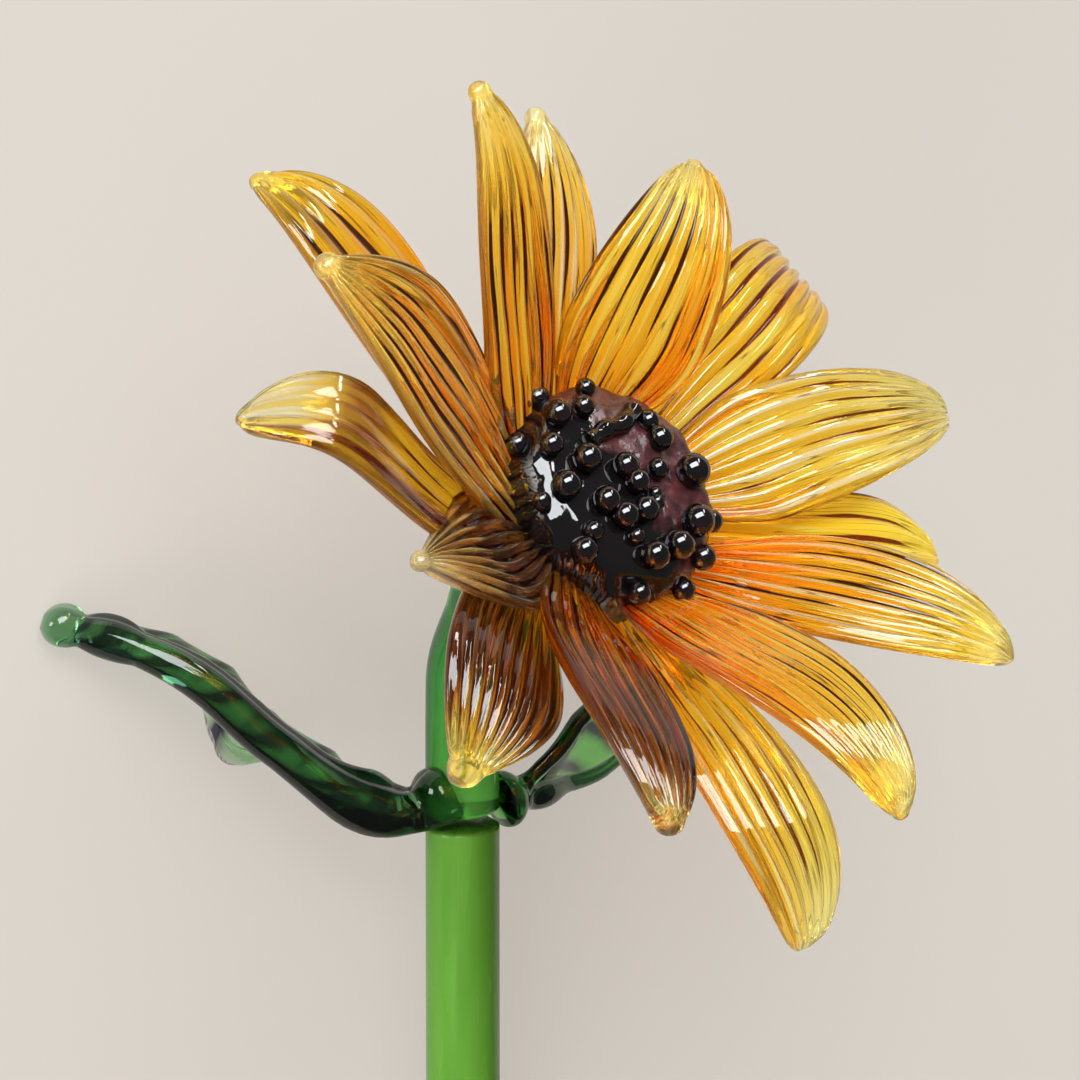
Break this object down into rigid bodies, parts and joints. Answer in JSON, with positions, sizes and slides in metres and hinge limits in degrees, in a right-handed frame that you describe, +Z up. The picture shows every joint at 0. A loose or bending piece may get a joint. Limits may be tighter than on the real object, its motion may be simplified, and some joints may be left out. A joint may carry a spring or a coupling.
{
  "type": "glass sunflower",
  "caption": "Flame-worked glass sunflower, lying down: reeded amber petals round a dark beaded seed head, a bent green glass stem and twisted green leaves.",
  "frame": {"origin": "middle of the bounding box's bottom, on the surface that the flower lies on", "axes": "+Y along the stem towards the bloom, +Z up, away from the surface"},
  "size_m": [0.1022, 0.2936, 0.0808],
  "materials": {
    "amber_glass": "clear amber glass, glossy, browner at the root",
    "dark_glass": "black and maroon glass, glossy",
    "clear_green_glass": "clear dark green glass, glossy",
    "grass_green_glass": "cloudy grass green glass, smooth"
  },
  "bodies": {
    "root": {"petal_01": "amber_glass", "petal_02": "amber_glass", "petal_03": "amber_glass", "petal_04": "amber_glass", "petal_05": "amber_glass", "petal_06": "amber_glass", "petal_07": "amber_glass", "petal_08": "amber_glass", "petal_09": "amber_glass", "petal_10": "amber_glass", "petal_11": "amber_glass", "petal_12": "amber_glass", "petal_13": "amber_glass", "petal_14": "amber_glass", "petal_15": "amber_glass", "seed_head": "dark_glass", "neck": "clear_green_glass", "stem": "grass_green_glass", "leaf_left": "clear_green_glass", "leaf_right": "clear_green_glass"}
  },
  "joints": []
}
